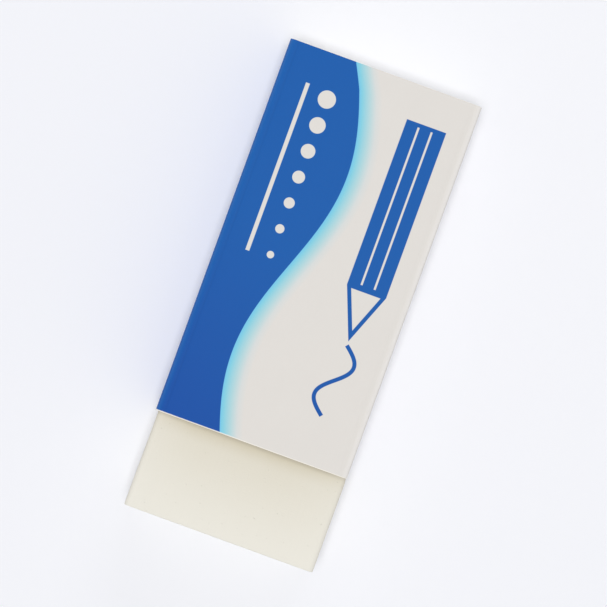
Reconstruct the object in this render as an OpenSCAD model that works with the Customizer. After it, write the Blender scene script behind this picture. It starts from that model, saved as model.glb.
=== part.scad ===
// Pocket eraser in a printed card sleeve, lying flat, in millimetres.
// X runs across the block, Y along it with the bare end at -Y, Z is up.
// The origin is under the middle of the whole part, on the surface that it lies on.

/* [Block] */
// Width of the block, side to side
block_w = 23.9; // [20:0.1:32]
// Thickness of the block
block_h = 12; // [8:0.1:16]
// Length of the block, end to end
block_len = 59.2; // [50:0.1:80]
// Radius of the four long edges, left by the die that the bar is pressed through
edge_r = 0.6; // [0.3:0.05:1.5]

/* [Sleeve] */
// Length of the card sleeve
sleeve_len = 47.5; // [44:0.1:56]
// Thickness of the card
card_t = 0.16; // [0.15:0.01:0.35]
// Gap between the card and the block, on every side
slide_gap = 0.04; // [0.02:0.01:0.1]
// How far the sleeve stands past the block's covered end
end_cover = 0.3; // [0:0.1:1]
// Strip at the top of the left side that the glue flap inside it leaves single
flap_clear = 1.8; // [0.3:0.1:5]
// Strip of the flap that the side glued over it leaves bare, above the flap's fold
seam_reveal = 0.4; // [0.1:0.1:2]
// How far the left side's two layers are pressed into each other by the glue
glue_press = 0.01; // [0.005:0.005:0.05]

/* [Printed wave] */
// Distance of the wave's middle line from the sleeve's left side
wave_middle = 9.1; // [6:0.1:14]
// Height of the wave to either side of its middle line
wave_height = 2.9; // [0:0.1:5]
// Length of one whole wave along the sleeve
wave_length = 49; // [20:1:100]
// Distance of the wave's crest from the sleeve's front edge
wave_crest = 34.1; // [0:0.1:50]
// Width of the light blue glow beside the wave
glow_w = 2.4; // [0.5:0.1:4]

/* [Printed marks] */
// Distance of the pencil's middle line from the sleeve's right side
pencil_inset = 5.5; // [4:0.1:7]
// Length of the pencil, from its flat end to its point
pencil_len = 27.5; // [18:0.5:30]
// Width of the pencil
pencil_w = 5; // [3:0.1:7]
// Length of the pencil's sharpened cone
cone_len = 6.4; // [3:0.1:10]
// Distance of the marks' first ends from the sleeve's far edge
mark_margin = 4.4; // [2:0.1:8]
// Width of the rule, of the line that the pencil has drawn, and of the cone's outline
line_w = 0.5; // [0.3:0.05:0.8]
// Width of the two white lines along the pencil's barrel
facet_line_w = 0.25; // [0.15:0.05:0.6]
// Length of the line that the pencil has drawn
drawn_len = 9; // [4:0.5:10]
// How far the drawn line swings to either side
drawn_swing = 1.7; // [0.5:0.1:2.5]
// Distance of the white rule from the sleeve's left side
rule_inset = 3.8; // [2:0.1:5]
// Distance of the row of white dots from the sleeve's left side
dot_inset = 6.6; // [5:0.1:8]
// Number of dots in the row
dot_count = 7; // [3:1:9]
// Diameter of the dot at the row's far end, the largest
first_dot_d = 2.2; // [1:0.1:2.6]
// Diameter of the dot at the row's near end, the smallest
last_dot_d = 0.9; // [0.4:0.1:2.6]
// Spacing of the dots, centre to centre
dot_pitch = 3.3; // [2.7:0.1:4]

/* [Hidden] */

cream = [0.91, 0.90, 0.85];
card_white = [0.89, 0.87, 0.85];
ink_blue = [0.17, 0.39, 0.69];
glow_blue = [0.45, 0.79, 0.91];

// Depth of the printed face in the card, and how far a shape that cuts it runs past it
ink_t = 0.03;
past = 1;

// Room inside the folded card, and the radius on the inside of its folds
room_w = block_w + 2 * slide_gap;
room_h = block_h + 2 * slide_gap;
fold_r = edge_r + slide_gap;

// Outside of the sleeve: two layers of card on its left side, one on the other three
sleeve_w = room_w + 3 * card_t - glue_press;
sleeve_h = room_h + 2 * card_t;

// Ends along Y
bare_len = block_len + end_cover - sleeve_len;
part_len = bare_len + sleeve_len;
front_y = -part_len / 2;
sleeve_y = front_y + bare_len;
left_x = -sleeve_w / 2;

// Middle of the block's section, off centre by half of the left side's second layer
axis_x = (card_t - glue_press) / 2;
axis_z = sleeve_h / 2;

// Flat widths of the blank's panels, in the order in which they are folded:
// glue flap, underside, right side, top, and the left side that is glued over the flap
side_flat = room_h - 2 * fold_r;
under_flat = room_w - 2 * fold_r;
flap_flat = side_flat - flap_clear;
top_flat = under_flat + card_t - glue_press;
PANELS = [flap_flat, under_flat, side_flat, top_flat, side_flat - seam_reveal];

GLOW_BANDS = 4;
WAVE_STEPS = 32;

$fn = 64;

// One quarter-turn of the card, between two depths counted from its inner face
module fold(inner, outer) {
    translate([0, fold_r])
        intersection() {
            difference() {
                circle(r = fold_r + outer);
                circle(r = fold_r + inner);
            }
            translate([0, -fold_r - outer])
                square(fold_r + outer);
        }
}

// The blank folded up panel by panel, each panel carried by the fold before it
module folded_blank(inner, outer, i = 0) {
    translate([0, -outer])
        square([PANELS[i], outer - inner]);
    if (i < len(PANELS) - 1)
        translate([PANELS[i], 0]) {
            fold(inner, outer);
            translate([fold_r, fold_r])
                rotate(90)
                    folded_blank(inner, outer, i + 1);
        }
}

// A length of folded card between two depths, set round the block
module card_layer(inner, outer) {
    translate([axis_x, sleeve_y + sleeve_len, axis_z])
        rotate([90, 0, 0])
            linear_extrude(sleeve_len)
                translate([-room_w / 2, -room_h / 2 + fold_r + flap_flat])
                    rotate(-90)
                        folded_blank(inner, outer);
}

// Distance of the wave from the sleeve's left side, at a distance from its front edge
function wave(y) = wave_middle + wave_height * cos(360 * (y - wave_crest) / wave_length);

// Points along the wave, moved to the right, from past the front edge to past the far edge
function wave_points(shift) = [
    for (i = [0 : WAVE_STEPS])
        let (y = -past + (sleeve_len + 2 * past) * i / WAVE_STEPS)
            [wave(y) + shift, y]
];

function reversed(points) = [for (i = [len(points) - 1 : -1 : 0]) points[i]];

// Stands a shape drawn on the top panel, from the sleeve's left side and front edge
module through(bottom = -past) {
    translate([left_x, sleeve_y, bottom])
        linear_extrude(sleeve_h + past - bottom)
            children();
}

module wave_field() {
    polygon(concat(
        [[-past, sleeve_len + past], [-past, -past]],
        wave_points(0)
    ));
}

module glow_band(i) {
    polygon(concat(
        wave_points(glow_w * i / GLOW_BANDS),
        reversed(wave_points(glow_w * (i + 1) / GLOW_BANDS))
    ));
}

// The rule and the row of shrinking dots, left white in the blue field
module white_marks() {
    row_len = (first_dot_d + last_dot_d) / 2 + dot_pitch * (dot_count - 1);
    translate([0, sleeve_len - mark_margin]) {
        translate([rule_inset - line_w / 2, -row_len])
            square([line_w, row_len]);
        for (i = [0 : dot_count - 1])
            translate([dot_inset, -first_dot_d / 2 - i * dot_pitch])
                circle(d = first_dot_d + (last_dot_d - first_dot_d) * i / (dot_count - 1));
    }
}

// A cone seen from the side, its point down and its base up from there by a length
module cone_outline(slope, length) {
    polygon([[-slope * length, length], [slope * length, length], [0, 0]]);
}

// A pencil that points at the bare end, drawn from its flat end along -Y
module pencil() {
    barrel_len = pencil_len - cone_len;
    slope = pencil_w / 2 / cone_len;
    lead_len = line_w * sqrt(1 + slope * slope) / slope;
    difference() {
        translate([-pencil_w / 2, -barrel_len])
            square([pencil_w, barrel_len]);
        for (side = [-1, 1])
            translate([side * pencil_w / 6 - facet_line_w / 2, -barrel_len + line_w])
                square([facet_line_w, barrel_len - 2 * line_w]);
    }
    translate([0, -pencil_len])
        difference() {
            cone_outline(slope, cone_len);
            translate([0, lead_len])
                cone_outline(slope, cone_len - lead_len - line_w / 2);
        }
}

// Points along one side of the drawn line, half its width from its middle
function drawn_side(side) = [
    for (i = [0 : WAVE_STEPS])
        let (
            turn = 360 * i / WAVE_STEPS,
            slope = drawn_swing * cos(turn) * 2 * PI / drawn_len,
            across = [1, slope] / norm([1, slope])
        )
            [drawn_swing * sin(turn), -drawn_len * turn / 360] + across * side * line_w / 2
];

// The line that the pencil has drawn, one swing to each side
module drawn_line() {
    polygon(concat(drawn_side(1), reversed(drawn_side(-1))));
}

module blue_marks() {
    translate([sleeve_w - pencil_inset, sleeve_len - mark_margin]) {
        pencil();
        translate([0, -pencil_len - line_w])
            drawn_line();
    }
}

// Where the card is printed blue: round the left side, and the marks on the top
module blue_ink() {
    difference() {
        through() wave_field();
        through(axis_z) white_marks();
    }
    through(axis_z) blue_marks();
}

module eraser_block() {
    color(cream)
        translate([axis_x, front_y + block_len, axis_z])
            rotate([90, 0, 0])
                linear_extrude(block_len)
                    block_section();
}

// A rectangle with round corners
module block_section() {
    square([block_w, block_h - 2 * edge_r], center = true);
    square([block_w - 2 * edge_r, block_h], center = true);
    for (x = [-1, 1], z = [-1, 1])
        translate([x * (block_w / 2 - edge_r), z * (block_h / 2 - edge_r)])
            circle(r = edge_r);
}

// Where one band of the glow shows, on the top and on the underside
module glow_ink(i) {
    difference() {
        through() glow_band(i);
        through(axis_z) blue_marks();
    }
}

// The printed face of the card, where any of the solids stands in it
module printed() {
    intersection() {
        card_layer(card_t - ink_t, card_t);
        union() children();
    }
}

// One folded card: white, with its outer face printed in fields of colour
module card_sleeve() {
    color(card_white)
        difference() {
            card_layer(0, card_t);
            printed() {
                blue_ink();
                for (i = [0 : GLOW_BANDS - 1])
                    through() glow_band(i);
            }
        }
    color(ink_blue)
        printed() blue_ink();
    for (i = [0 : GLOW_BANDS - 1])
        color(glow_blue + (card_white - glow_blue) * i / GLOW_BANDS)
            printed() glow_ink(i);
}

eraser_block();
card_sleeve();
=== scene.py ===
# %% [markdown]
# A pocket eraser in a printed card sleeve, dressed round its CAD model.
#
# The real object is two things that slide on each other: a bar of white foam, cut to length, and a strip
# of printed card that is folded round it and glued to itself. The CAD model gives both in exact solids.
# This script loads them as a fixed frame, makes a finer piece for each, and paints both with materials
# that are worked out by nodes, so that nothing but the frame is read from disk.

# %% Load the frame
import math

import bpy
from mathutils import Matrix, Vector, noise


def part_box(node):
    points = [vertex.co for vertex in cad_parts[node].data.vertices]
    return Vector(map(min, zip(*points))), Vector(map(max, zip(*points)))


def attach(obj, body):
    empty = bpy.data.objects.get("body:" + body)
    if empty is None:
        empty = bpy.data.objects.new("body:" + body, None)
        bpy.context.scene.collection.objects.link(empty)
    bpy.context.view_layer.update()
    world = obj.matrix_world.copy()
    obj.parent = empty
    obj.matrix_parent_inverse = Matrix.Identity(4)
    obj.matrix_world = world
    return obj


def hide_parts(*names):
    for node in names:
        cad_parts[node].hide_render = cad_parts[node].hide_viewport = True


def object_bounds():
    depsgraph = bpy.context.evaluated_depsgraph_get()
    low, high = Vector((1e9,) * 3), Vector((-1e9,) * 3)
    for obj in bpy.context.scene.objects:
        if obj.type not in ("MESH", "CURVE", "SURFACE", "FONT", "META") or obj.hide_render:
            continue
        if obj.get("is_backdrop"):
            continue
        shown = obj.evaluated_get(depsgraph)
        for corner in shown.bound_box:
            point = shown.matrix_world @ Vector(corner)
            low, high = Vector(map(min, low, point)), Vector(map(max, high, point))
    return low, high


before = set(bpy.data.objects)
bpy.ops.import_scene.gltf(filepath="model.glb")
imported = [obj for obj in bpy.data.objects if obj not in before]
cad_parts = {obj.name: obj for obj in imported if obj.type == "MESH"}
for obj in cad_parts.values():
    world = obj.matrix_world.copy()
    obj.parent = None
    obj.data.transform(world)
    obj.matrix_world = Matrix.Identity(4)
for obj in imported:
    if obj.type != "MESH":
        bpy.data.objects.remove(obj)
cad_low, cad_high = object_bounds()

# %% Places on the frame
# One millimetre, in the metres that the frame is in
MM = 0.001

sleeve_low, sleeve_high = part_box("card_sleeve")
block_low, block_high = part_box("eraser_block")
sleeve_size = (sleeve_high - sleeve_low) / MM
block_size = (block_high - block_low) / MM
print("sleeve, mm:", [round(n, 2) for n in sleeve_size])
print("block, mm:", [round(n, 2) for n in block_size])

# %% [markdown]
# Nodes can be drawn by hand in the editor, or written as code. Written one by one they hide the sum that
# they work out, so here a small class wraps a socket and lets Python's own operators add the Math nodes:
# 1 - mask reads as what it is. Every other node comes from one method, which sets a node's own settings
# first, because they decide which sockets it has, and then the values or links of its sockets.

# %% A socket that can be calculated with
def helpers(kind):
    """The names of what a class here can do, for the prints."""
    return [name for name in vars(kind) if not name.startswith("_")]


class Wire:
    """One output of a node. Python's operators on it add the Math nodes that work them out."""

    def __init__(self, bench, socket):
        self.bench = bench
        self.socket = socket

    def math(self, operation, *terms, clamp=False):
        settings = {"operation": operation, "use_clamp": clamp}
        return self.bench.node("ShaderNodeMath", settings, dict(enumerate(terms)))

    def __add__(self, other):
        return self.math("ADD", self, other)

    def __radd__(self, other):
        return self.math("ADD", other, self)

    def __sub__(self, other):
        return self.math("SUBTRACT", self, other)

    def __rsub__(self, other):
        return self.math("SUBTRACT", other, self)

    def __mul__(self, other):
        return self.math("MULTIPLY", self, other)

    def __rmul__(self, other):
        return self.math("MULTIPLY", other, self)

    def __truediv__(self, other):
        return self.math("DIVIDE", self, other)

    def __rtruediv__(self, other):
        return self.math("DIVIDE", other, self)

    def __gt__(self, other):
        return self.math("GREATER_THAN", self, other)

    def __lt__(self, other):
        return self.math("LESS_THAN", self, other)

    def __neg__(self):
        return self.math("MULTIPLY", self, -1.0)

    def __abs__(self):
        return self.math("ABSOLUTE", self)

    def power(self, exponent):
        return self.math("POWER", self, exponent)

    def sine(self):
        return self.math("SINE", self)

    def cosine(self):
        return self.math("COSINE", self)

    def at_least(self, other):
        return self.math("MAXIMUM", self, other)

    def at_most(self, other):
        return self.math("MINIMUM", self, other)

    def nearest(self):
        return self.math("ROUND", self)

    def clamped(self):
        return self.math("ADD", self, 0.0, clamp=True)


print("sums that have a name:", helpers(Wire))


# %% A tree of nodes, and the one method that adds to it
class Bench:
    """A node tree. Its method node() adds any node: settings first, then the sockets."""

    def __init__(self, tree):
        self.tree = tree

    def node(self, kind, settings=None, sockets=None, output=None):
        made = self.tree.nodes.new(kind)
        for name, value in (settings or {}).items():
            if name == "stops":
                self.set_stops(made.color_ramp, value)
            else:
                setattr(made, name, value)
        for name, value in (sockets or {}).items():
            self.feed(self.find(made.inputs, name), value)
        return Wire(self, self.find(made.outputs, output))

    def find(self, sockets, name):
        """A socket by its place or its name, among those that the node's settings leave in use."""
        if isinstance(name, int):
            return sockets[name]
        in_use = [s for s in sockets if s.enabled]
        return next(s for s in in_use if name is None or s.name == name)

    def feed(self, socket, value):
        """Links a wire to a socket, or sets its value. A colour gets its fourth number here."""
        if isinstance(value, Wire):
            self.tree.links.new(value.socket, socket)
        elif socket.type == "RGBA":
            socket.default_value = (*value, 1.0)
        else:
            socket.default_value = value

    def part(self, vector, axis):
        """One of a vector's three parts: X, Y or Z."""
        return self.node("ShaderNodeSeparateXYZ", None, {0: vector}, axis)

    def vector(self, x, y, z):
        return self.node("ShaderNodeCombineXYZ", None, {"X": x, "Y": y, "Z": z})

    def background_rays(self):
        """1 for rays that go from the camera, or from a mirror or glass, to the background."""
        camera = self.node("ShaderNodeLightPath", output="Is Camera Ray")
        glossy = self.node("ShaderNodeLightPath", output="Is Glossy Ray")
        passing = self.node("ShaderNodeLightPath", output="Is Transmission Ray")
        return camera.at_least(glossy).at_least(passing)

    def end(self, kind, socket, wire):
        """Ends the tree: an output node, and what goes into it."""
        self.feed(self.tree.nodes.new(kind).inputs[socket], wire)

    def set_stops(self, ramp, stops):
        while len(ramp.elements) < len(stops):
            ramp.elements.new(1.0)
        for element, (place, colour) in zip(ramp.elements, stops):
            element.position = place
            element.color = (*colour, 1.0)


print("bench helpers:", helpers(Bench))

# %% [markdown]
# The camera comes first, because every later choice is looked at through it. The photograph was taken
# from straight above with the eraser turned by 20 degrees, and it shows none of the sides, so the camera
# stands far off with a long lens and is turned by that angle about its own axis. The frame of the picture
# is square, and one of its pixels is 0.12 mm on the sleeve's top.

# %% Camera
IMAGE_SIDE = 607
MM_PER_PIXEL = 0.1200
LENS = 150.0
SENSOR = 36.0
CAMERA_TURN = 20.0

# The pixel of the photograph on which the middle of the part's top lies
MIDDLE_PIXEL = Vector((301.78, 305.48))


def added(name, data):
    """A new object that holds some data, put into the scene."""
    made = bpy.data.objects.new(name, data)
    bpy.context.scene.collection.objects.link(made)
    return made


def make_camera():
    """A camera that looks straight down at the sleeve's top, turned like the photograph."""
    data = bpy.data.cameras.new("camera")
    data.lens = LENS
    data.sensor_width = SENSOR
    camera = added("camera", data)
    turn = math.radians(CAMERA_TURN)
    right = Vector((math.cos(turn), math.sin(turn), 0.0))
    up = Vector((-math.sin(turn), math.cos(turn), 0.0))
    off = (MIDDLE_PIXEL - Vector((IMAGE_SIDE, IMAGE_SIDE)) / 2) * MM_PER_PIXEL * MM
    height = IMAGE_SIDE * MM_PER_PIXEL * MM * LENS / SENSOR
    camera.location = -right * off.x + up * off.y + Vector((0.0, 0.0, sleeve_high.z + height))
    camera.rotation_euler = (0.0, 0.0, turn)
    bpy.context.scene.camera = camera
    return camera


camera = make_camera()
print("camera, mm:", [round(n / MM, 1) for n in camera.location])

# %% [markdown]
# Colours are written as the eye reads them in the photograph, from 0 to 255, and turned into the linear
# numbers that the renderer works with. The light below is set to a plain level, at which a surface shows
# about the colour that is written here.

# %% Colours
def linear(red, green, blue):
    """A colour from 0 to 255 on the screen, by the sRGB curve, as the one that a shader takes."""
    def channel(value):
        value /= 255
        return value / 12.92 if value <= 0.04045 else ((value + 0.055) / 1.055) ** 2.4
    return tuple(channel(value) for value in (red, green, blue))


CARD_WHITE = linear(225, 221, 216)
INK_BLUE = linear(5, 90, 171)
INK_DEEP = linear(0, 76, 163)
GLOW_CYAN = linear(110, 198, 236)
CARD_CORE = linear(246, 242, 234)
# The card and the ink on the folds: painted highlight, and coat rubbed thin
CARD_SHEEN_AND_RUB = linear(252, 249, 245)
INK_SHEEN_AND_RUB = linear(50, 112, 189)
CARD_BACK = linear(222, 217, 206)
FOAM_PALE = linear(239, 236, 226)
# The foam in painted shade, round the sleeve's mouth
FOAM_SHADED = linear(215, 207, 186)
FLOOR_PALE = linear(248, 249, 254)
print("card white, linear:", [round(n, 3) for n in CARD_WHITE])

# %% [markdown]
# A material starts from the same three things each time: a Principled shader, the place of the shaded
# point on its own piece, in millimetres, and noise to break it up. Object coordinates are used for the
# place, because they stay on the piece when it slides, and numbers in millimetres can be read against
# the CAD model.

# %% Helpers for materials
class Finish(Bench):
    """A material's tree, with what every finish here needs: places, noise, mixing and a surface."""

    def __init__(self, name):
        self.material = bpy.data.materials.new(name)
        self.material.use_nodes = True
        super().__init__(self.material.node_tree)
        self.tree.nodes.clear()

    def place(self):
        """The place of a point on its piece, in millimetres."""
        metres = self.node("ShaderNodeTexCoord", output="Object")
        sockets = {0: metres, "Scale": 1 / MM}
        return self.node("ShaderNodeVectorMath", {"operation": "SCALE"}, sockets)

    def stretched(self, vector, factors):
        settings = {"operation": "MULTIPLY"}
        return self.node("ShaderNodeVectorMath", settings, {0: vector, 1: factors})

    def noise(self, vector, per_mm, detail=2.0, roughness=0.5):
        """Noise about 0, near -1 to 1, with so many features to a millimetre."""
        sockets = {"Vector": vector, "Scale": per_mm, "Detail": detail, "Roughness": roughness}
        return (self.node("ShaderNodeTexNoise", None, sockets, "Fac") - 0.5) * 2.0

    def mix(self, factor, a, b):
        """Colour a where factor is 0 and colour b where it is 1."""
        sockets = {"Factor": factor, "A": a, "B": b}
        return self.node("ShaderNodeMix", {"data_type": "RGBA"}, sockets)

    def shaded(self, colour, by):
        """A colour made lighter or darker by a value near 1."""
        settings = {"data_type": "RGBA", "blend_type": "MULTIPLY"}
        grey = self.node("ShaderNodeCombineColor", None, {"Red": by, "Green": by, "Blue": by})
        return self.node("ShaderNodeMix", settings, {"Factor": 1.0, "A": colour, "B": grey})

    def inside(self, distance, blur=0.05):
        """1 inside a shape and 0 outside it, from the distance to its edge in millimetres."""
        return (0.5 - distance / blur).clamped()

    def shader(self, colour, roughness, height, specular=0.5):
        """A Principled shader: the height is in millimetres and becomes a bump."""
        bump = self.node("ShaderNodeBump", None, {"Strength": 1.0, "Distance": MM, "Height": height})
        sockets = {"Base Color": colour, "Roughness": roughness, "Normal": bump}
        sockets["Specular IOR Level"] = specular
        return self.node("ShaderNodeBsdfPrincipled", None, sockets)

    def surface(self, shader):
        """Ends the tree with a shader, and gives the material."""
        self.end("ShaderNodeOutputMaterial", "Surface", shader)
        return self.material


print("finish helpers:", helpers(Finish))

# %% [markdown]
# The sleeve is one flat blank of five panels, with a fold between each panel and the next: a glue flap,
# the underside, the right side, the top, and the left side, which is glued over the flap. So the left
# side has two layers of card, and the room inside is three layers narrower than the sleeve. These sizes
# come first, because both the print and the folding read them.

# %% Sizes of the blank, from the CAD model
CARD_THICKNESS = 0.16
FOLD_RADIUS = 0.64
SEAM_REVEAL = 0.4
FLAP_CLEAR = 1.8

room_width = sleeve_size.x - 3 * CARD_THICKNESS
room_height = sleeve_size.z - 2 * CARD_THICKNESS
side_flat = room_height - 2 * FOLD_RADIUS
under_flat = room_width - 2 * FOLD_RADIUS
fold_length = (FOLD_RADIUS + CARD_THICKNESS / 2) * math.pi / 2

PANELS = {
    "Flap": side_flat - FLAP_CLEAR,
    "Underside": under_flat,
    "Right side": side_flat,
    "Top": under_flat + CARD_THICKNESS,
    "Left side": side_flat - SEAM_REVEAL,
}
FOLDS = len(PANELS) - 1
print("panels of the blank, mm:", {name: round(width, 2) for name, width in PANELS.items()})

# %% Where the folds start, along the flat blank
fold_starts = []
reach = 0.0
for width in list(PANELS.values())[:-1]:
    reach += width
    fold_starts.append(reach)
    reach += fold_length
print("folds start at, mm:", [round(start, 2) for start in fold_starts])

# %% [markdown]
# The sleeve's outer face is coated card, printed in one blue. The print could be an image, but an image
# is fixed to its own size and has to be shipped with the part. Here each shape is a distance in
# millimetres: below zero is inside, and a mask comes from that by one sum. The blue field ends in a sine
# wave, and a light blue glow fades from the wave into the white. The sizes are those of the CAD model,
# but for three: the glow fades over a little more than the model's bands, the wave leans back at its far
# end, as the real print does, and the pencil's cone reaches a little into its barrel, so that no pale
# seam shows between them.

# %% Sizes of the print
WAVE_MIDDLE = 9.1
WAVE_HEIGHT = 2.9
WAVE_LENGTH = 49.0
WAVE_CREST = 34.1
GLOW_LENGTH = 3.0
END_LEAN = 0.4
LEAN_LENGTH = 3.1
LEAN_CURVE = 1.15

PENCIL_INSET = 5.5
PENCIL_LENGTH = 27.5
PENCIL_WIDTH = 5.0
CONE_LENGTH = 6.4
MARK_MARGIN = 4.4
LINE_WIDTH = 0.5
SEAM_OVERLAP = 0.1
FACET_LINE_WIDTH = 0.25
DRAWN_LENGTH = 9.0
DRAWN_SWING = 1.7
RULE_INSET = 3.8
DOT_INSET = 6.6
DOT_COUNT = 7
FIRST_DOT = 2.2
LAST_DOT = 0.9
DOT_PITCH = 3.3

MARKS_START = sleeve_size.y - MARK_MARGIN
DOT_ROW = (FIRST_DOT + LAST_DOT) / 2 + DOT_PITCH * (DOT_COUNT - 1)
print("dot row, mm:", round(DOT_ROW, 2))


# %% A box and the wave, each as a distance to its edge
def box_edge(x, y, middle, half):
    """Distance to the edge of an upright box, with its middle and half sizes in millimetres."""
    across = abs(x - middle[0]) - half[0]
    along = abs(y - middle[1]) - half[1]
    return across.at_least(along)


def wave_edge(across, along):
    """How far a point lies to the right of the blue field's wave, which leans back at its far end."""
    turn = (along - WAVE_CREST) * (2 * math.pi / WAVE_LENGTH)
    lean = (1 - (sleeve_size.y - along) / LEAN_LENGTH).clamped().power(LEAN_CURVE) * END_LEAN
    return across - (turn.cosine() * WAVE_HEIGHT + WAVE_MIDDLE) + lean


print("wave from the left side, mm:", round(WAVE_MIDDLE - WAVE_HEIGHT, 2), WAVE_MIDDLE + WAVE_HEIGHT)


# %% The pencil, as a distance to its edge
def cone_edge(x, y, slope):
    """Distance to the side of a cone with its point at the origin, opening up along y."""
    lean = math.hypot(1.0, slope)
    return (abs(x) - y * slope) / lean


def pencil_edge(across, along):
    """The pencil: a barrel with two bare lines along it, and an outlined cone with a solid tip."""
    x = across - (sleeve_size.x - PENCIL_INSET)
    y = along - (MARKS_START - PENCIL_LENGTH)
    half = PENCIL_WIDTH / 2
    barrel_half = (PENCIL_LENGTH - CONE_LENGTH) / 2
    barrel_middle = CONE_LENGTH + barrel_half
    barrel = box_edge(x, y, (0.0, barrel_middle), (half, barrel_half))
    line_half = (FACET_LINE_WIDTH / 2, barrel_half - LINE_WIDTH)
    lines = box_edge(abs(x), y, (PENCIL_WIDTH / 6, barrel_middle), line_half)
    slope = half / CONE_LENGTH
    lead = LINE_WIDTH * math.hypot(1.0, slope) / slope
    cone_top = (y - (CONE_LENGTH + SEAM_OVERLAP)).at_least(abs(x) - half)
    cone = cone_edge(x, y, slope).at_least(cone_top)
    wood_top = y - (CONE_LENGTH - LINE_WIDTH / 2)
    wood = cone_edge(x, y - lead, slope).at_least(wood_top)
    inked_barrel = barrel.at_least(-lines)
    inked_cone = cone.at_least(-wood)
    return inked_barrel.at_most(inked_cone)


print("the cone opens by", round(PENCIL_WIDTH / CONE_LENGTH, 3), "mm to each mm of its length")


# %% The drawn line and the dots, each as a distance to its edge
def drawn_edge(across, along):
    """The line that the pencil has drawn: one swing to each side."""
    x = across - (sleeve_size.x - PENCIL_INSET)
    y = (MARKS_START - PENCIL_LENGTH - LINE_WIDTH) - along
    turn = y * (2 * math.pi / DRAWN_LENGTH)
    end_slope = DRAWN_SWING * 2 * math.pi / DRAWN_LENGTH
    slope = turn.cosine() * end_slope
    lean = (slope * slope + 1.0).power(0.5)
    side = abs(x - turn.sine() * DRAWN_SWING) / lean - LINE_WIDTH / 2
    end_lean = math.hypot(1.0, end_slope)
    before = (x * end_slope + y) / -end_lean
    after = (x * end_slope + y - DRAWN_LENGTH) / end_lean
    return side.at_least(before).at_least(after)


def dots_edge(across, along):
    """The row of dots, which shrink towards the sleeve's front edge."""
    down = MARKS_START - FIRST_DOT / 2 - along
    number = (down / DOT_PITCH).nearest().at_least(0.0).at_most(DOT_COUNT - 1.0)
    off = down - number * DOT_PITCH
    x = across - DOT_INSET
    radius = FIRST_DOT / 2 + number * ((LAST_DOT - FIRST_DOT) / 2 / (DOT_COUNT - 1))
    return (x * x + off * off).power(0.5) - radius


print("drawn line, mm:", DRAWN_LENGTH, "dots:", DOT_COUNT)

# %% [markdown]
# The print's ink lies on a white clay coat, and spreads a hair past the wave's line. The blue is laid on
# a little denser towards the front edge and the left side, and it is never quite even, so it gets a
# faint mottle too. One flat blue would be simpler, but it would look like plastic.

# %% Colours of the print
INK_SPREAD = 0.06
DENSE_REACH = 0.55
DENSE_SLANT = 0.3
GLOW_STOPS = [
    (0.0, GLOW_CYAN),
    (0.16, linear(134, 208, 226)),
    (0.45, linear(178, 215, 221)),
    (0.75, linear(216, 220, 219)),
    (1.0, CARD_WHITE),
]


def printed_colours(finish, across, along, top):
    """The colour of the coat and its print, and a mask of where the blue ink lies."""
    wave = wave_edge(across, along)
    field = finish.inside(wave - INK_SPREAD)
    rule_half = (LINE_WIDTH / 2, DOT_ROW / 2)
    rule = box_edge(across, along, (RULE_INSET, MARKS_START - DOT_ROW / 2), rule_half)
    left_white = finish.inside(rule.at_most(dots_edge(across, along))) * top
    marks = finish.inside(pencil_edge(across, along).at_most(drawn_edge(across, along))) * top
    ink = (field * (1 - left_white)).at_least(marks)
    glow_place = {"Fac": (wave / GLOW_LENGTH).clamped()}
    glow = finish.node("ShaderNodeValToRGB", {"stops": GLOW_STOPS}, glow_place, "Color")
    paper = finish.mix(left_white, glow, CARD_WHITE)
    from_front = along / (sleeve_size.y * DENSE_REACH)
    from_left = across / sleeve_size.x * DENSE_SLANT
    denser = (1.0 - from_front - from_left).clamped()
    blue = finish.mix(denser, INK_BLUE, INK_DEEP)
    return finish.mix(ink, paper, blue), ink


print("glow, mm:", GLOW_LENGTH, "stops:", len(GLOW_STOPS))

# %% [markdown]
# The folding machine leaves its marks on the print. A blunt wheel presses a fine groove beside each
# fold, and the groove's shade is painted into the colour too, as a faint darker line. On the fold itself
# the colour is painted lighter: partly the coat and the ink stretched and rubbed thin, partly a painted
# highlight where the curve catches the light. Both follow the folds, wherever those stand in space, so
# they are read from the flat blank: the tree that folds the sleeve keeps each point's place on the blank
# in a UV map.

# %% Marks of the folding: grooves with painted shade, and folds with a painted highlight
CREASE_INSET = 0.3
CREASE_WIDTH = 0.2
SHEEN_AND_RUB_STRENGTH = 0.9
SHEEN_AND_RUB_UNEVEN = 0.2
SHEEN_AND_RUB_GRAIN = (1.0, 0.15, 1.0)


def fold_middle(blank):
    """Distance along the flat blank from the middle of the nearest fold."""
    nearest = None
    for start in fold_starts:
        off = abs(blank - (start + fold_length / 2))
        nearest = off if nearest is None else nearest.at_most(off)
    return nearest


def fold_marks(finish, vector):
    """A mask of the folds' painted highlight and rubbed coat, and one of the grooves beside them."""
    blank = finish.part(finish.node("ShaderNodeUVMap", {"uv_map": "blank"}), "X") / MM
    off_fold = fold_middle(blank)
    crease = (1 - abs(off_fold - fold_length / 2 - CREASE_INSET) / CREASE_WIDTH).clamped()
    bent = (1 - off_fold / (fold_length / 2)).clamped() * SHEEN_AND_RUB_STRENGTH
    patches = finish.noise(finish.stretched(vector, SHEEN_AND_RUB_GRAIN), per_mm=2.5)
    return bent * (patches * SHEEN_AND_RUB_UNEVEN + (1 - SHEEN_AND_RUB_UNEVEN)), crease


print("folds, mm wide:", round(fold_length, 2), "grooves, mm:", CREASE_WIDTH)

# %% [markdown]
# Coated card is satin: broad, soft gloss, a little duller where the ink lies. The cut along the front
# edge crushes the card, and a hair's breadth of the bare core shows there. All of it goes into one
# material, because it is all one face of one sheet. What varies feeds the colour, the roughness and the
# bump, and what is the same all over is set on the shader itself.

# %% Material: the printed face of the card
COAT_SPECULAR = 0.17
CORE_STRIP = 0.115
CORE_UNEVEN = 0.03
CREASE_DEPTH = 0.008
CREASE_SHADE_ON_INK = 0.05
CREASE_SHADE_ON_CARD = 0.008
FIBRE_GRAIN = (1.0, 0.25, 1.0)


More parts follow.
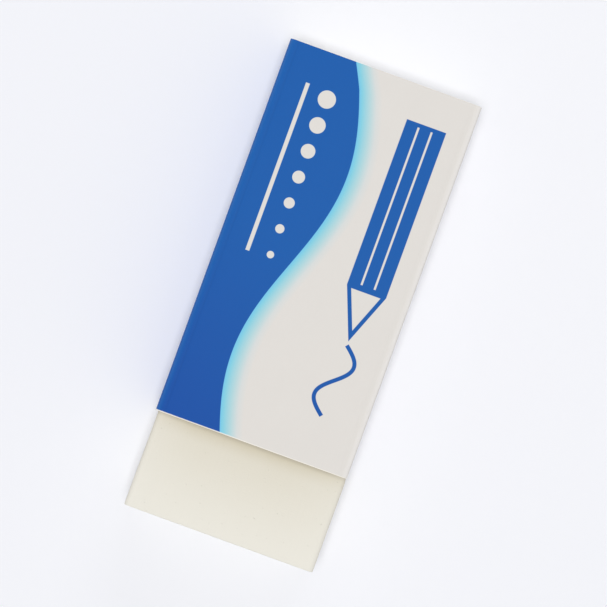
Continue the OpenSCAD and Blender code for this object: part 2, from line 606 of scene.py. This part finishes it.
def printed_face():
    """Coated card printed in blue, read on the piece's own coordinates."""
    finish = Finish("printed_face")
    vector = finish.place()
    across = finish.part(vector, "X") - sleeve_low.x / MM
    along = finish.part(vector, "Y") - sleeve_low.y / MM
    top = finish.part(vector, "Z") > (sleeve_low.z + sleeve_high.z) / 2 / MM
    colour, ink = printed_colours(finish, across, along, top)
    fold_sheen_and_rub, crease = fold_marks(finish, vector)
    # The folds are painted lighter: a painted highlight on the curve, and the coat rubbed thin there
    colour = finish.mix(fold_sheen_and_rub, colour, finish.mix(ink, CARD_SHEEN_AND_RUB, INK_SHEEN_AND_RUB))

    clouds = finish.noise(vector, per_mm=0.35)
    mottle = finish.noise(vector, per_mm=3.0, detail=3.0)
    fibres = finish.noise(finish.stretched(vector, FIBRE_GRAIN), per_mm=6.0)
    shade = 1.0 + clouds * 0.012 + mottle * 0.012 * (0.6 + ink) + fibres * 0.008
    # Painted shade: the groove beside each fold is darkened in the colour, besides its bump
    shade = shade - crease * (ink * CREASE_SHADE_ON_INK + CREASE_SHADE_ON_CARD)
    colour = finish.shaded(colour, shade)

    uneven = finish.noise(vector, per_mm=2.2, detail=3.0) * CORE_UNEVEN
    strip = finish.inside(along - CORE_STRIP + uneven)
    colour = finish.mix(strip, colour, CARD_CORE)

    roughness = 0.52 + ink * 0.06 + mottle * 0.03 + strip * 0.3
    height = fibres * 0.0016 + mottle * 0.0012 - ink * 0.001 - crease * CREASE_DEPTH
    return finish.surface(finish.shader(colour, roughness, height, COAT_SPECULAR))


printed_material = printed_face()
print("material:", printed_material.name, "nodes:", len(printed_material.node_tree.nodes))

# %% [markdown]
# The back of the card isn't coated. It is the bare board, a little greyer and warmer, with its fibres
# showing, and it is seen inside the sleeve once the block is out. The cut edges show the core: pale,
# dull, and torn into short layers by the knife.

# %% Materials: the card's back and its cut edges
BOARD_GRAIN = (1.0, 0.2, 1.0)
FLECK_LEVEL = 0.45


def card_back():
    """Uncoated board, with fibres that lie along the sleeve."""
    finish = Finish("card_back")
    vector = finish.place()
    lying = finish.stretched(vector, BOARD_GRAIN)
    fibres = finish.noise(lying, per_mm=5.0, detail=4.0, roughness=0.6)
    clouds = finish.noise(vector, per_mm=0.5)
    flecks = (finish.noise(lying, per_mm=9.0, detail=1.0) - FLECK_LEVEL).at_least(0.0)
    shade = 1.0 + fibres * 0.05 + clouds * 0.02 - flecks * 0.25
    roughness = 0.86 + fibres * 0.05
    colour = finish.shaded(CARD_BACK, shade)
    return finish.surface(finish.shader(colour, roughness, fibres * 0.006))


def cut_edge():
    """The core of the card where the knife went through, in thin layers."""
    finish = Finish("cut_edge")
    torn = finish.noise(finish.place(), per_mm=7.0, detail=3.0, roughness=0.6)
    shade = 1.0 + torn * 0.06
    roughness = 0.9 + torn * 0.05
    colour = finish.shaded(CARD_CORE, shade)
    return finish.surface(finish.shader(colour, roughness, torn * 0.008))


back_material = card_back()
edge_material = cut_edge()
print("materials:", back_material.name, edge_material.name)

# %% [markdown]
# The sleeve could be modelled as a box with the middle taken out, but then the overlap, the folds and the
# cut edges would each need work of their own. Instead a tree of Geometry Nodes does what the folding
# machine does. It lays out the blank as a thin slab, and then bends it at one crease after another, the
# last crease first, so that each bend carries along all that lies past it. Both steps are Repeat Zones,
# because each panel is the same sum with another width. A panel that nothing holds gives a little between
# its folds, towards the block and unevenly. The two that are glued together stay flat.

# %% Inputs of the sleeve's tree
SLACK_SHARES = {"Flap": 0.0, "Underside": 1.0, "Right side": 1.0, "Top": 1.0, "Left side": 0.0}
SLEEVE_SIZES = {
    "Length": sleeve_size.y * MM,
    "Card thickness": CARD_THICKNESS * MM,
    "Fold radius": FOLD_RADIUS * MM,
    "Slack": 0.022 * MM,
    "Ripple scale": 90.0,
    **{name: width * MM for name, width in PANELS.items()},
}
SLEEVE_COUNTS = {"Panel columns": 14, "Fold columns": 10, "Rows": 60, "Seed": 5}
SLEEVE_FINISHES = {"Printed face": printed_material, "Card back": back_material, "Cut edge": edge_material}
print("inputs:", list(SLEEVE_SIZES) + list(SLEEVE_COUNTS))


# %% A geometry tree with named inputs
class Shape(Bench):
    """A Geometry Nodes tree with named inputs, and what every tree here needs."""

    def __init__(self, name, sizes, counts, materials):
        super().__init__(bpy.data.node_groups.new(name, "GeometryNodeTree"))
        face = self.tree.interface
        face.new_socket("Geometry", in_out="OUTPUT", socket_type="NodeSocketGeometry")
        for kind, names in (("Float", sizes), ("Int", counts), ("Material", materials)):
            for socket_name in names:
                face.new_socket(socket_name, in_out="INPUT", socket_type=f"NodeSocket{kind}")
        self.inputs = self.tree.nodes.new("NodeGroupInput")

    def given(self, name):
        return Wire(self, self.inputs.outputs[name])

    def position(self, axis):
        return self.part(self.node("GeometryNodeInputPosition"), axis)

    def moved(self, geometry, position):
        return self.node("GeometryNodeSetPosition", None, {"Geometry": geometry, "Position": position})

    def chosen(self, index, wires):
        """The wire whose turn it is in a Repeat Zone."""
        made = self.tree.nodes.new("GeometryNodeIndexSwitch")
        made.data_type = "FLOAT"
        while len(made.index_switch_items) < len(wires):
            made.index_switch_items.new()
        self.feed(made.inputs["Index"], index)
        for number, wire in enumerate(wires):
            self.feed(made.inputs[str(number)], wire)
        return Wire(self, made.outputs[0])

    def stored(self, geometry, name, kind, domain, value):
        settings = {"data_type": kind, "domain": domain}
        sockets = {"Geometry": geometry, "Name": name, "Value": value}
        return self.node("GeometryNodeStoreNamedAttribute", settings, sockets)

    def attribute(self, name):
        return self.node("GeometryNodeInputNamedAttribute", {"data_type": "FLOAT"}, {"Name": name})

    def repeat(self, turns, geometry, values, step):
        """A Repeat Zone. step(turn, geometry, values) gives the next geometry and values."""
        start = self.tree.nodes.new("GeometryNodeRepeatInput")
        end = self.tree.nodes.new("GeometryNodeRepeatOutput")
        start.pair_with_output(end)
        for name in values:
            end.repeat_items.new("FLOAT", name)
        self.feed(start.inputs["Iterations"], turns)
        self.feed(start.inputs["Geometry"], geometry)
        for name, value in values.items():
            self.feed(start.inputs[name], value)
        held = {name: Wire(self, start.outputs[name]) for name in values}
        turn = Wire(self, start.outputs["Iteration"])
        geometry, held = step(turn, Wire(self, start.outputs["Geometry"]), held)
        self.feed(end.inputs["Geometry"], geometry)
        for name, value in held.items():
            self.feed(end.inputs[name], value)
        results = {name: Wire(self, end.outputs[name]) for name in values}
        return Wire(self, end.outputs["Geometry"]), results


print("shape helpers:", helpers(Shape))


# %% Step one of the tree: the flat blank
def lay_out_blank(shape):
    """A slab of card, its columns shared out over panels and folds, and its faces marked by side."""
    panel_columns = shape.given("Panel columns")
    fold_columns = shape.given("Fold columns")
    columns = panel_columns * float(len(PANELS)) + fold_columns * float(FOLDS)
    rows = shape.given("Rows")
    counts = {"Vertices X": columns + 1.0, "Vertices Y": rows + 1.0, "Vertices Z": 2}
    slab = shape.node("GeometryNodeMeshCube", None, {"Size": (1.0, 1.0, 1.0), **counts}, "Mesh")
    facing = shape.part(shape.node("GeometryNodeInputNormal"), "Z")
    slab = shape.stored(slab, "card_side", "FLOAT", "FACE", facing)

    thickness = shape.given("Card thickness")
    bend_length = (shape.given("Fold radius") + thickness / 2.0) * (math.pi / 2)
    column = (shape.position("X") + 0.5) * columns

    def lay_panel(turn, geometry, held):
        width = shape.chosen(turn, [shape.given(name) for name in PANELS])
        slack = shape.chosen(turn, [SLACK_SHARES[name] for name in PANELS])
        first = column - turn * (panel_columns + fold_columns)
        part = (first / panel_columns).clamped()
        bend = ((first - panel_columns) / fold_columns).clamped()
        step = part * width + bend * bend_length
        arch = part * (1.0 - part) * 4.0 * slack
        return geometry, {"Reach": held["Reach"] + step, "Arch": held["Arch"] + arch}

    slab, laid = shape.repeat(len(PANELS), slab, {"Reach": 0.0, "Arch": 0.0}, lay_panel)
    reach = laid["Reach"]
    along = (shape.position("Y") + 0.5) * shape.given("Length")
    ripple_at = {"Vector": shape.vector(reach, along, 0.0), "Scale": shape.given("Ripple scale")}
    ripple_at["W"] = shape.given("Seed")
    ripple = shape.node("ShaderNodeTexNoise", {"noise_dimensions": "4D"}, ripple_at, "Fac")
    # The noise is 0.5 on average, so the slack is right on average
    sunk = laid["Arch"] * shape.given("Slack") * (ripple + 0.5)
    depth = (shape.position("Z") - 0.5) * thickness + sunk
    slab = shape.stored(slab, "reach", "FLOAT", "POINT", reach)
    slab = shape.moved(slab, shape.vector(reach, along, depth))
    flat = shape.vector(shape.position("X"), shape.position("Y"), 0.0)
    slab = shape.stored(slab, "blank", "FLOAT2", "CORNER", flat)
    return slab, bend_length


blank_width = sum(PANELS.values()) + FOLDS * fold_length
print("flat blank, mm:", round(blank_width, 2), "by", round(sleeve_size.y, 2))


# %% Step two of the tree: one crease after another
def fold_blank(shape, slab, bend_length):
    """Bends the blank up at each crease by a quarter turn, the last crease first."""
    radius = shape.given("Fold radius")
    reach = shape.attribute("reach")
    total = bend_length * float(FOLDS)
    for name in PANELS:
        total = total + shape.given(name)
    last_first = [shape.given(name) for name in reversed(PANELS)]

    def fold(turn, geometry, held):
        crease = held["Crease"] - shape.chosen(turn, last_first[:FOLDS]) - bend_length
        x, y, z = [shape.position(axis) for axis in "XYZ"]
        past = reach - crease
        angle = (past / bend_length).clamped() * (math.pi / 2)
        bent_x = crease + (radius - z) * angle.sine()
        bent_z = radius - (radius - z) * angle.cosine()
        turned_x = crease + radius - z
        turned_z = radius + x - crease - bend_length
        bent = shape.vector(bent_x, y, bent_z)
        turned = shape.vector(turned_x, y, turned_z)
        carried = {"Switch": past > bend_length, "False": bent, "True": turned}
        beyond = shape.node("GeometryNodeSwitch", {"input_type": "VECTOR"}, carried)
        sockets = {"Geometry": geometry, "Selection": past > 0.0, "Position": beyond}
        return shape.node("GeometryNodeSetPosition", None, sockets), {"Crease": crease}

    folded, _ = shape.repeat(FOLDS, slab, {"Crease": total}, fold)
    return folded


print("creases in the order of bending, mm:", [round(start, 2) for start in reversed(fold_starts)])


# %% The whole tree: blank, folds, place and materials
def sleeve_tree():
    """The tree that folds the sleeve and stands it where the CAD model has it."""
    shape = Shape("folded_sleeve", SLEEVE_SIZES, SLEEVE_COUNTS, SLEEVE_FINISHES)
    slab, bend_length = lay_out_blank(shape)
    folded = fold_blank(shape, slab, bend_length)

    inner_left = sleeve_low.x + 2 * CARD_THICKNESS * MM
    floor_in = sleeve_low.z + CARD_THICKNESS * MM
    x = shape.position("Z") + inner_left
    z = shape.given("Fold radius") + shape.given("Flap") + floor_in - shape.position("X")
    y = shape.position("Y") + sleeve_low.y
    stood = shape.moved(folded, shape.vector(x, y, z))

    whole = shape.node("GeometryNodeRealizeInstances", None, {"Geometry": stood})
    side = shape.attribute("card_side")
    all_cut = {"Geometry": whole, "Material": shape.given("Cut edge")}
    painted = shape.node("GeometryNodeSetMaterial", None, all_cut)
    for name, chosen in (("Printed face", side < -0.5), ("Card back", side > 0.5)):
        sockets = {"Geometry": painted, "Selection": chosen, "Material": shape.given(name)}
        painted = shape.node("GeometryNodeSetMaterial", None, sockets)
    shape.end("NodeGroupOutput", "Geometry", painted)
    return shape.tree


fold_tree = sleeve_tree()
print("nodes in the tree:", len(fold_tree.nodes))

# %% [markdown]
# A tree's result lasts only as long as its modifier. The sleeve is one rigid piece, so the result is
# taken as a plain mesh once, and the modifier goes. A knife never leaves a perfect corner, so a Bevel of
# three hundredths of a millimetre runs after the tree and catches the light along the cut edges.

# %% Run the tree and keep its mesh
EDGE_CHAMFER = 0.03
CHAMFER_ANGLE = 50
SHARP_ANGLE = 30


def set_input(modifier, name, value):
    """Sets a modifier's input by its socket's identifier."""
    items = modifier.node_group.interface.items_tree
    socket = next(s for s in items if s.name == name and s.in_out == "INPUT")
    modifier[socket.identifier] = value


def plain_mesh(holder, name):
    """The mesh that an object's modifiers make, as a new object of its own."""
    graph = bpy.context.evaluated_depsgraph_get()
    mesh = bpy.data.meshes.new_from_object(holder.evaluated_get(graph))
    mesh.name = name
    holder.modifiers.clear()
    bpy.data.objects.remove(holder)
    return added(name, mesh)


def show(piece):
    """Prints what a finished piece is made of, and the two far corners of its box."""
    corners = [[round(n / MM, 3) for n in piece.bound_box[i]] for i in (0, 6)]
    print(piece.name, len(piece.data.polygons), "faces of", [m.name for m in piece.data.materials])
    print("its box, mm:", corners)


def folded_sleeve():
    """The card sleeve: the tree's mesh, with its cut edges chamfered."""
    holder = added("sleeve_holder", bpy.data.meshes.new("sleeve_holder"))
    modifier = holder.modifiers.new("fold", "NODES")
    modifier.node_group = fold_tree
    for name, value in {**SLEEVE_SIZES, **SLEEVE_COUNTS, **SLEEVE_FINISHES}.items():
        set_input(modifier, name, value)
    chamfer = holder.modifiers.new("chamfer", "BEVEL")
    chamfer.width = EDGE_CHAMFER * MM
    chamfer.segments = 1
    chamfer.limit_method = "ANGLE"
    chamfer.angle_limit = math.radians(CHAMFER_ANGLE)
    piece = plain_mesh(holder, "folded_sleeve")
    # The cube that the tree starts from brings an empty slot, which no face uses
    empty = [i for i, material in enumerate(piece.data.materials) if material is None]
    for i in reversed(empty):
        piece.data.materials.pop(index=i)
    piece.data.polygons.foreach_set("use_smooth", [True] * len(piece.data.polygons))
    piece.data.set_sharp_from_angle(angle=math.radians(SHARP_ANGLE))
    return piece


sleeve = folded_sleeve()
show(sleeve)

# %% [markdown]
# The block is pressed through a die as one long bar, and then cut to length. That leaves four round long
# edges, sharp but slightly broken edges at both ends, and faces that are not quite flat. A cube with
# bevels would give the edges, but not a grid that is fine enough to bend. So the block's surface is
# written down as a grid of points on a box, and each point is moved by a rule: pulled round the long
# edges, drawn in at the ends, and swelled a little where the sleeve doesn't hold the foam in.

# %% Sizes of the block
EDGE_RADIUS = 0.6
END_BREAK = 0.12
SWELL_RIGHT = 0.17
SWELL_LEFT = 0.06
MOUTH_RISE = 0.3
SQUEEZE = 0.16
SQUEEZE_LENGTH = 9.0
SQUEEZE_CURVE = 4
WAVINESS = 0.015
WAVES_ACROSS = 0.21
WAVES_ALONG = 0.13

bare_length = (sleeve_low.y - block_low.y) / MM
print("bare length, mm:", round(bare_length, 2))


# %% The rules that move a point of the block
def rounded(x, z, half_x, half_z, radius):
    """Pulls a point of a rectangle's grid round its corner."""
    core_x = max(-half_x + radius, min(half_x - radius, x))
    core_z = max(-half_z + radius, min(half_z - radius, z))
    out_x = x - core_x
    out_z = z - core_z
    length = math.hypot(out_x, out_z)
    if length == 0:
        return x, z
    pull = max(abs(out_x), abs(out_z)) / length
    return core_x + out_x * pull, core_z + out_z * pull


def end_inset(distance):
    """How far the section is drawn in, at a distance from the end."""
    if distance >= END_BREAK:
        return 0.0
    return END_BREAK - math.sqrt(END_BREAK ** 2 - (END_BREAK - distance) ** 2)


def eased(distance, length):
    """Rises smoothly from 0 to 1 over a length."""
    part = max(0.0, min(distance / length, 1.0))
    return part * part * (3 - 2 * part)


def block_point(x, y, z):
    """The place of a point of the block's grid, in millimetres about the block's middle."""
    half = block_size / 2
    inset = end_inset(half.y - abs(y))
    round_x, round_z = rounded(x, z, half.x, half.z, EDGE_RADIUS)
    shrunk_x = round_x * (1 - inset / half.x)
    shrunk_z = round_z * (1 - inset / half.z)
    wave = noise.noise(Vector((round_x * WAVES_ACROSS, y * WAVES_ALONG, round_z * WAVES_ACROSS)))
    dent = WAVINESS * (0.5 + 0.5 * wave)
    out = bare_length - (y + half.y)
    right = SWELL_RIGHT * eased(out, MOUTH_RISE)
    left = SWELL_LEFT * eased(out, bare_length)
    crown = 1 - (x / half.x) ** SQUEEZE_CURVE
    held = SQUEEZE * crown * (1 - eased(abs(out), SQUEEZE_LENGTH))
    wide = shrunk_x * (1 + ((right if x > 0 else left) - dent) / half.x)
    high = shrunk_z * (1 - (dent + held) / half.z)
    return wide, y, high


print("drawn in at the very end, mm:", end_inset(0.0), "and past the break:", end_inset(END_BREAK))


# %% The block's mesh
STEPS_ACROSS = 44
STEPS_ALONG = 116
STEPS_UP = 20
END_STEPS = 4
CORNER_STEPS = 5


def spread(low, high, margin, margin_steps, steps):
    """Numbers from low to high, closer together in a margin at each end."""
    near = [low + margin * i / margin_steps for i in range(margin_steps)]
    middle = [low + margin + (high - low - 2 * margin) * i / steps for i in range(steps + 1)]
    far = [high - margin * (margin_steps - 1 - i) / margin_steps for i in range(margin_steps)]
    return near + middle + far


def block_grid():
    """Points and faces of the block: two end faces, and loops between them."""
    half = block_size / 2
    xs = spread(-half.x, half.x, EDGE_RADIUS, CORNER_STEPS, STEPS_ACROSS)
    zs = spread(-half.z, half.z, EDGE_RADIUS, CORNER_STEPS, STEPS_UP)
    ys = spread(-half.y, half.y, END_BREAK, END_STEPS, STEPS_ALONG)
    columns = len(xs)
    floors = len(zs)
    rim = [(i, 0) for i in range(columns)]
    rim += [(columns - 1, k) for k in range(1, floors)]
    rim += [(i, floors - 1) for i in range(columns - 2, -1, -1)]
    rim += [(0, k) for k in range(floors - 2, 0, -1)]
    points = []
    index = {}
    for j, y in enumerate(ys):
        whole = j in (0, len(ys) - 1)
        for i, k in ([(i, k) for k in range(floors) for i in range(columns)] if whole else rim):
            index[i, j, k] = len(points)
            points.append(block_point(xs[i], y, zs[k]))
    faces = []
    for j in range(len(ys) - 1):
        for (i, k), (next_i, next_k) in zip(rim, rim[1:] + rim[:1]):
            corners = [(i, j, k), (next_i, j, next_k), (next_i, j + 1, next_k), (i, j + 1, k)]
            faces.append([index[c] for c in corners])
    for j in (0, len(ys) - 1):
        for i in range(columns - 1):
            for k in range(floors - 1):
                corners = [(i, j, k), (i, j, k + 1), (i + 1, j, k + 1), (i + 1, j, k)]
                quad = [index[c] for c in corners]
                faces.append(quad if j else quad[::-1])
    return points, faces


block_points, block_faces = block_grid()
print("points of the block:", len(block_points), "faces:", len(block_faces))

# %% [markdown]
# The foam is cream, matt and full of tiny cells, most of them too small to see. What does show is a
# faint cloudiness, hair-thin streaks that the die leaves along the bar, scattered pinholes where a cell
# was cut open, darkened in the colour as painted shade in the hollow, and on the two cut ends the fine
# lines of the blade. A flat colour would look like wax.
#
# The foam's colour is darkened round the sleeve's mouth. This is painted shade, not a tone of the foam: it
# stands in for the shadow that the sleeve's step throws and the shade along the block next to it. It is a
# wide band that fades to both sides, a narrow one at the edge, and in the middle of both a hair line of
# painted shadow right under the card's edge. All three are fainter towards the block's sides.

# %% The painted shade at the sleeve's mouth
SHADE_BAND_LENGTH = 14.0
SHADE_BAND_DEPTH = 0.66
SHADE_BAND_CURVE = 1.4
EDGE_SHADE_LENGTH = 2.2
EDGE_SHADE_DEPTH = 0.60
EDGE_SHADE_CURVE = 1.5
CONTACT_SHADOW_LENGTH = 0.5
CONTACT_SHADOW_DEPTH = 0.2
SHADE_SIDE_CURVE = 3.0
SHADE_SIDE_FADE = 0.45
CONTACT_SHADOW_FADE = 0.4
SHADE_UNEVEN = 0.15


def mouth_tone(x, y, clouds):
    """A mask of the painted shade round the mouth, and one of the painted shadow line under the card's
    edge.
    """
    from_mouth = abs(y - sleeve_low.y / MM)
    middle_x = (block_low.x + block_high.x) / 2 / MM
    off_side = (abs(x - middle_x) / (block_size.x / 2)).power(SHADE_SIDE_CURVE)
    shade_weight = (1 - off_side * SHADE_SIDE_FADE) * (1 + clouds * SHADE_UNEVEN)
    band = (1 - from_mouth / SHADE_BAND_LENGTH).clamped().power(SHADE_BAND_CURVE) * SHADE_BAND_DEPTH
    edge = (1 - from_mouth / EDGE_SHADE_LENGTH).clamped().power(EDGE_SHADE_CURVE) * EDGE_SHADE_DEPTH
    line = (1 - from_mouth / CONTACT_SHADOW_LENGTH).clamped() * (1 - off_side * CONTACT_SHADOW_FADE)
    return ((band + edge) * shade_weight).clamped(), line


print("tone at the mouth, mm to each side:", SHADE_BAND_LENGTH, EDGE_SHADE_LENGTH, CONTACT_SHADOW_LENGTH)


# %% Material: the foam
FOAM_SPECULAR = 0.3
CELLS_PER_MM = 1.5
HOLE_SIZE = 0.05
HOLE_VARIETY = 0.07
HOLE_BLUR = 0.06
END_MASK = 0.05
DIE_GRAIN = (1.0, 0.03, 1.0)
BLADE_GRAIN = (0.06, 1.0, 1.0)


def foam():
    """White foam with clouds, die streaks, open cells, blade lines on the cut ends, and painted shade in
    the cells and at the mouth.
    """
    finish = Finish("white_foam")
    vector = finish.place()
    x = finish.part(vector, "X")
    y = finish.part(vector, "Y")
    clouds = finish.noise(vector, per_mm=0.22, detail=3.0)
    streaks = finish.noise(finish.stretched(vector, DIE_GRAIN), per_mm=3.2, detail=3.0)
    grain = finish.noise(vector, per_mm=5.5, detail=3.0, roughness=0.6)
    cells_at = {"Vector": vector, "Scale": CELLS_PER_MM}
    cells = finish.node("ShaderNodeTexVoronoi", None, cells_at, "Distance")
    variety = finish.noise(vector, per_mm=0.9, detail=0.0) * HOLE_VARIETY
    holes = finish.inside(cells - (HOLE_SIZE + variety), HOLE_BLUR)
    middle_y = (block_low.y + block_high.y) / 2 / MM
    ends = finish.inside((block_size.y / 2 - END_MASK) - abs(y - middle_y), 2 * END_MASK)
    lying = finish.stretched(vector, BLADE_GRAIN)
    blade = finish.noise(lying, per_mm=3.5, detail=4.0, roughness=0.65)
    skin = streaks * (1 - ends)

    # Painted shade: the foam is darkened round the sleeve's mouth, for the shadow of the sleeve's step
    painted_shade, line = mouth_tone(x, y, clouds)
    tone = finish.mix(painted_shade, FOAM_PALE, FOAM_SHADED)
    # The pinholes are darkened in the colour: painted shade inside the open cells
    shade = 1.0 + clouds * 0.008 + skin * 0.006 + grain * 0.010 - holes * 0.09 + blade * ends * 0.03
    colour = finish.shaded(tone, shade * (1 - line * CONTACT_SHADOW_DEPTH))
    roughness = 0.82 + grain * 0.06 + holes * 0.1
    height = grain * 0.006 + skin * 0.004 - holes * 0.04 + blade * ends * 0.02
    return finish.surface(finish.shader(colour, roughness, height, FOAM_SPECULAR))


foam_material = foam()
print("material:", foam_material.name, "nodes:", len(foam_material.node_tree.nodes))


# %% Put the block in its place
def foam_block():
    """The block, in its place, with smooth faces."""
    middle = (block_low + block_high) / 2
    mesh = bpy.data.meshes.new("foam_block")
    mesh.from_pydata([Vector(p) * MM + middle for p in block_points], [], block_faces)
    mesh.validate()
    mesh.polygons.foreach_set("use_smooth", [True] * len(mesh.polygons))
    mesh.materials.append(foam_material)
    return added("foam_block", mesh)


block = foam_block()
show(block)

# %% [markdown]
# Each new piece now rides on its CAD body, so that it moves as that body does in MuJoCo, and hides the
# CAD node that it stands for. The table's last column names each piece's material slot in the record,
# which nothing here reads.

# %% Join the pieces to the frame
PIECES = [
    (sleeve, "sleeve", "card_sleeve", "printed_card"),
    (block, "block", "eraser_block", "eraser_foam"),
]

for piece, body, node, slot in PIECES:
    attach(piece, body)
    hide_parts(node)
    print(piece.name, "rides on", body, "and replaces", node)

# %% [markdown]
# The floor is a plain pale sheet, wide enough to fill every view, with the faint tooth of paper. A real
# one bends up behind the object and is lit for itself. Here the camera, and what is mirrored in gloss,
# sees the sheet turn into its own plain colour far from the object, and sees the world in that colour
# too, so the far edge never shows. The soft light that falls on the object isn't changed by either.

# %% Floor
FLOOR_HALF = 1.5
NEAR_RADIUS = 120.0
FAR_RADIUS = 600.0
FLOOR_SPECULAR = 0.2


def pale_floor():
    """The sheet that the eraser lies on."""
    finish = Finish("pale_floor")
    vector = finish.place()
    x = finish.part(vector, "X")
    y = finish.part(vector, "Y")
    tooth = finish.noise(vector, per_mm=1.2, detail=3.0)
    clouds = finish.noise(vector, per_mm=0.02, detail=1.0)
    colour = finish.shaded(FLOOR_PALE, 1.0 + tooth * 0.003 + clouds * 0.004)
    paper = finish.shader(colour, 0.9 + tooth * 0.03, tooth * 0.002, FLOOR_SPECULAR)
    off = (x * x + y * y).power(0.5)
    far = ((off - NEAR_RADIUS) / (FAR_RADIUS - NEAR_RADIUS)).clamped()
    seen = finish.background_rays() * far
    plain = finish.node("ShaderNodeEmission", None, {"Color": FLOOR_PALE, "Strength": 1.0})
    material = finish.surface(finish.node("ShaderNodeMixShader", None, {0: seen, 1: paper, 2: plain}))
    mesh = bpy.data.meshes.new("floor")
    signs = [(-1, -1), (1, -1), (1, 1), (-1, 1)]
    corners = [(right * FLOOR_HALF, up * FLOOR_HALF, 0.0) for right, up in signs]
    mesh.from_pydata(corners, [], [(0, 1, 2, 3)])
    mesh.materials.append(material)
    return added("floor", mesh)


floor = pale_floor()
floor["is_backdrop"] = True
print("floor, m:", 2 * FLOOR_HALF)

# %% [markdown]
# The light is soft and comes from all round, as in a product photograph, with two lamps to give it a
# direction. The strong one hangs almost straight above and is small for its distance, so that the part's
# shadow stays narrow and the floor stays light right up to the card. The weak one stands behind the
# covered end, and makes the sleeve's thin step throw a short soft shadow on the block. A single low lamp
# would show more of the card's texture, but it would put one whole side in the dark.

# %% World
WORLD_STRENGTH = 0.35


def make_world():
    """Even white light, seen by the camera and in gloss as the floor's colour."""
    world = bpy.data.worlds.new("studio")
    world.use_nodes = True
    bpy.context.scene.world = world
    bench = Bench(world.node_tree)
    bench.tree.nodes.clear()
    white = {"Color": (1.0, 1.0, 1.0), "Strength": WORLD_STRENGTH}
    pale = {"Color": FLOOR_PALE, "Strength": 1.0}
    light = bench.node("ShaderNodeBackground", None, white)
    seen = bench.node("ShaderNodeBackground", None, pale)
    both = bench.node("ShaderNodeMixShader", None, {0: bench.background_rays(), 1: light, 2: seen})
    bench.end("ShaderNodeOutputWorld", "Surface", both)


make_world()
print("world strength:", WORLD_STRENGTH)


# %% Lamps
def make_lamp(name, place, aim, size, watts):
    """A square soft lamp at a place, aimed at a point, in metres."""
    data = bpy.data.lights.new(name, "AREA")
    data.shape = "SQUARE"
    data.size = size
    data.energy = watts
    lamp = added(name, data)
    lamp.location = place
    lamp.rotation_mode = "QUATERNION"
    lamp.rotation_quaternion = (Vector(aim) - Vector(place)).to_track_quat("-Z", "Y")


# Each lamp's name, place, aim, size and power
LAMPS = [
    ("high_lamp", (0.0, -0.05, 0.95), (0.0, 0.0, 0.01), 0.20, 5.08),
    ("back_lamp", (0.0, 0.42, 0.30), (0.0, 0.0, 0.012), 0.25, 0.25),
]
for lamp_row in LAMPS:
    make_lamp(*lamp_row)
    print("lamp:", lamp_row[0], "watts:", lamp_row[-1])

# %% [markdown]
# The Standard view shows each colour as it is written above. Other views bend the bright tones as film
# does, which would turn the white card grey. The sizes of the CAD model and of the dressed part are kept
# side by side, to show that the part hasn't grown.

# %% View settings and sizes
bpy.context.scene.view_settings.view_transform = "Standard"

new_low, new_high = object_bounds()
sizes = {
    "cad": [list(cad_low), list(cad_high)],
    "visual": [list(new_low), list(new_high)],
}
for model, box in sizes.items():
    print(model, "box, mm:", [[round(n / MM, 3) for n in corner] for corner in box])
